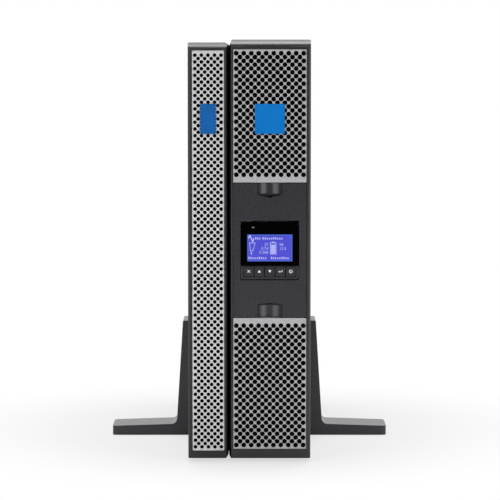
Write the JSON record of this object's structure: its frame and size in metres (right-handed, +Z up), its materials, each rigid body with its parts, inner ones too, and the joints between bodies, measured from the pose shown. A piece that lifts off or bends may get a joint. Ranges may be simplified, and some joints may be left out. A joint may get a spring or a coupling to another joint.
{
  "type": "rackmount ups",
  "caption": "Rack UPS standing as a tower: power module with tilting display and pull-off grilles beside a slim battery module, on outrigger feet.",
  "frame": {"origin": "on the floor, under the middle of the whole object's box", "axes": "+X to the right seen from the front, +Y to the back, +Z up; the grilles and display face -Y"},
  "size_m": [0.309, 0.46, 0.4441],
  "materials": {
    "charcoal_plastic": "fine-grained moulded charcoal plastic",
    "foot_plastic": "moulded charcoal plastic",
    "silver_paint": "silver paint on perforated sheet",
    "blue_badge": "satin blue badge, blank",
    "black_window": "polished black",
    "lcd": "lit blue screen",
    "light_pipe": "clear light pipe, unlit",
    "key_rubber": "charcoal rubber",
    "case_steel": "black powder coat on steel sheet",
    "bare_steel": "plated steel",
    "heatsink": "extruded aluminium",
    "circuit_board": "green solder mask",
    "winding": "enamelled copper wire",
    "core_steel": "laminated steel core",
    "capacitor_sleeve": "black shrink sleeve",
    "pack_plastic": "grey moulded battery case",
    "cell_wrap": "blue shrink wrap",
    "socket_black": "black moulded plastic",
    "socket_grey": "grey moulded plastic",
    "pad_rubber": "matt black rubber"
  },
  "bodies": {
    "cabinet": {"ups_bezel_frame": "charcoal_plastic", "centre_cover": "charcoal_plastic", "module_bezel": "charcoal_plastic", "stand_foot_left": "foot_plastic", "stand_foot_right": "foot_plastic", "module_grille": "silver_paint", "module_badge": "blue_badge", "stand_base_plate": "case_steel", "ups_tray": "case_steel", "ups_lid": "case_steel", "ups_front_bulkhead": "case_steel", "ups_rear_panel": "case_steel", "module_tray": "case_steel", "module_lid": "case_steel", "display_hinge_pin": "bare_steel", "battery_tray": "bare_steel", "card_slot_cover": "bare_steel", "usb_port": "bare_steel", "serial_port": "bare_steel", "tie_plate_lower": "bare_steel", "tie_plate_upper": "bare_steel", "rectifier_heatsink": "heatsink", "inverter_heatsink": "heatsink", "power_board": "circuit_board", "control_board": "circuit_board", "bms_board": "circuit_board", "boost_inductor": "winding", "output_transformer": "core_steel", "bulk_capacitor_lower": "capacitor_sleeve", "bulk_capacitor_upper": "capacitor_sleeve", "battery_pack": "pack_plastic", "cell_pack_lower": "cell_wrap", "cell_pack_upper": "cell_wrap", "outlet_frame": "socket_black", "mains_inlet": "socket_black", "breaker_body": "socket_black", "upper_fan_frame": "socket_black", "lower_fan_frame": "socket_black", "outlet_cores": "socket_grey", "ups_battery_socket": "socket_grey", "module_battery_socket": "socket_grey", "stand_pad_front": "pad_rubber", "stand_pad_rear": "pad_rubber"},
    "display": {"display_housing": "charcoal_plastic", "display_window": "black_window", "lcd_panel": "lcd", "status_light": "light_pipe", "display_board": "circuit_board"},
    "cancel_button": {"cancel_key": "key_rubber"},
    "up_button": {"up_key": "key_rubber"},
    "down_button": {"down_key": "key_rubber"},
    "enter_button": {"enter_key": "key_rubber"},
    "power_button": {"power_key": "key_rubber"},
    "upper_cover": {"upper_grille": "silver_paint"},
    "lower_cover": {"lower_grille": "silver_paint"},
    "badge": {"ups_badge": "blue_badge"},
    "upper_rotor": {"upper_fan_rotor": "socket_grey"},
    "lower_rotor": {"lower_fan_rotor": "socket_grey"},
    "reset_button": {"breaker_button": "socket_grey"}
  },
  "joints": [
    {"name": "display_tilt", "type": "hinge", "parent": "cabinet", "child": "display", "pos_m": [0.02145, -0.2259, 0.2516], "axis": [-1, 0, 0], "range_deg": [0, 45]},
    {"name": "cancel_press", "type": "slide", "parent": "display", "child": "cancel_button", "axis": [0, 1, 0], "range_m": [0, 0.001], "stiffness_N_per_m": 400, "springref_m": -0.001},
    {"name": "up_press", "type": "slide", "parent": "display", "child": "up_button", "axis": [0, 1, 0], "range_m": [0, 0.001], "stiffness_N_per_m": 400, "springref_m": -0.001},
    {"name": "down_press", "type": "slide", "parent": "display", "child": "down_button", "axis": [0, 1, 0], "range_m": [0, 0.001], "stiffness_N_per_m": 400, "springref_m": -0.001},
    {"name": "enter_press", "type": "slide", "parent": "display", "child": "enter_button", "axis": [0, 1, 0], "range_m": [0, 0.001], "stiffness_N_per_m": 400, "springref_m": -0.001},
    {"name": "power_press", "type": "slide", "parent": "display", "child": "power_button", "axis": [0, 1, 0], "range_m": [0, 0.001], "stiffness_N_per_m": 400, "springref_m": -0.001},
    {"name": "upper_cover_pull", "type": "slide", "parent": "cabinet", "child": "upper_cover", "axis": [0, -1, 0], "range_m": [0, 0.04]},
    {"name": "lower_cover_pull", "type": "slide", "parent": "cabinet", "child": "lower_cover", "axis": [0, -1, 0], "range_m": [0, 0.04]},
    {"name": "badge_turn", "type": "hinge", "parent": "upper_cover", "child": "badge", "pos_m": [0.02145, -0.2288, 0.3616], "axis": [0, 1, 0], "range_deg": [0, 90]},
    {"name": "upper_fan_spin", "type": "hinge", "parent": "cabinet", "child": "upper_rotor", "pos_m": [0.02145, 0.2129, 0.38837], "axis": [0, 1, 0], "continuous": true},
    {"name": "lower_fan_spin", "type": "hinge", "parent": "cabinet", "child": "lower_rotor", "pos_m": [0.02145, 0.2129, 0.29695], "axis": [0, 1, 0], "continuous": true},
    {"name": "breaker_trip", "type": "slide", "parent": "cabinet", "child": "reset_button", "axis": [0, 1, 0], "range_m": [0, 0.004]}
  ]
}
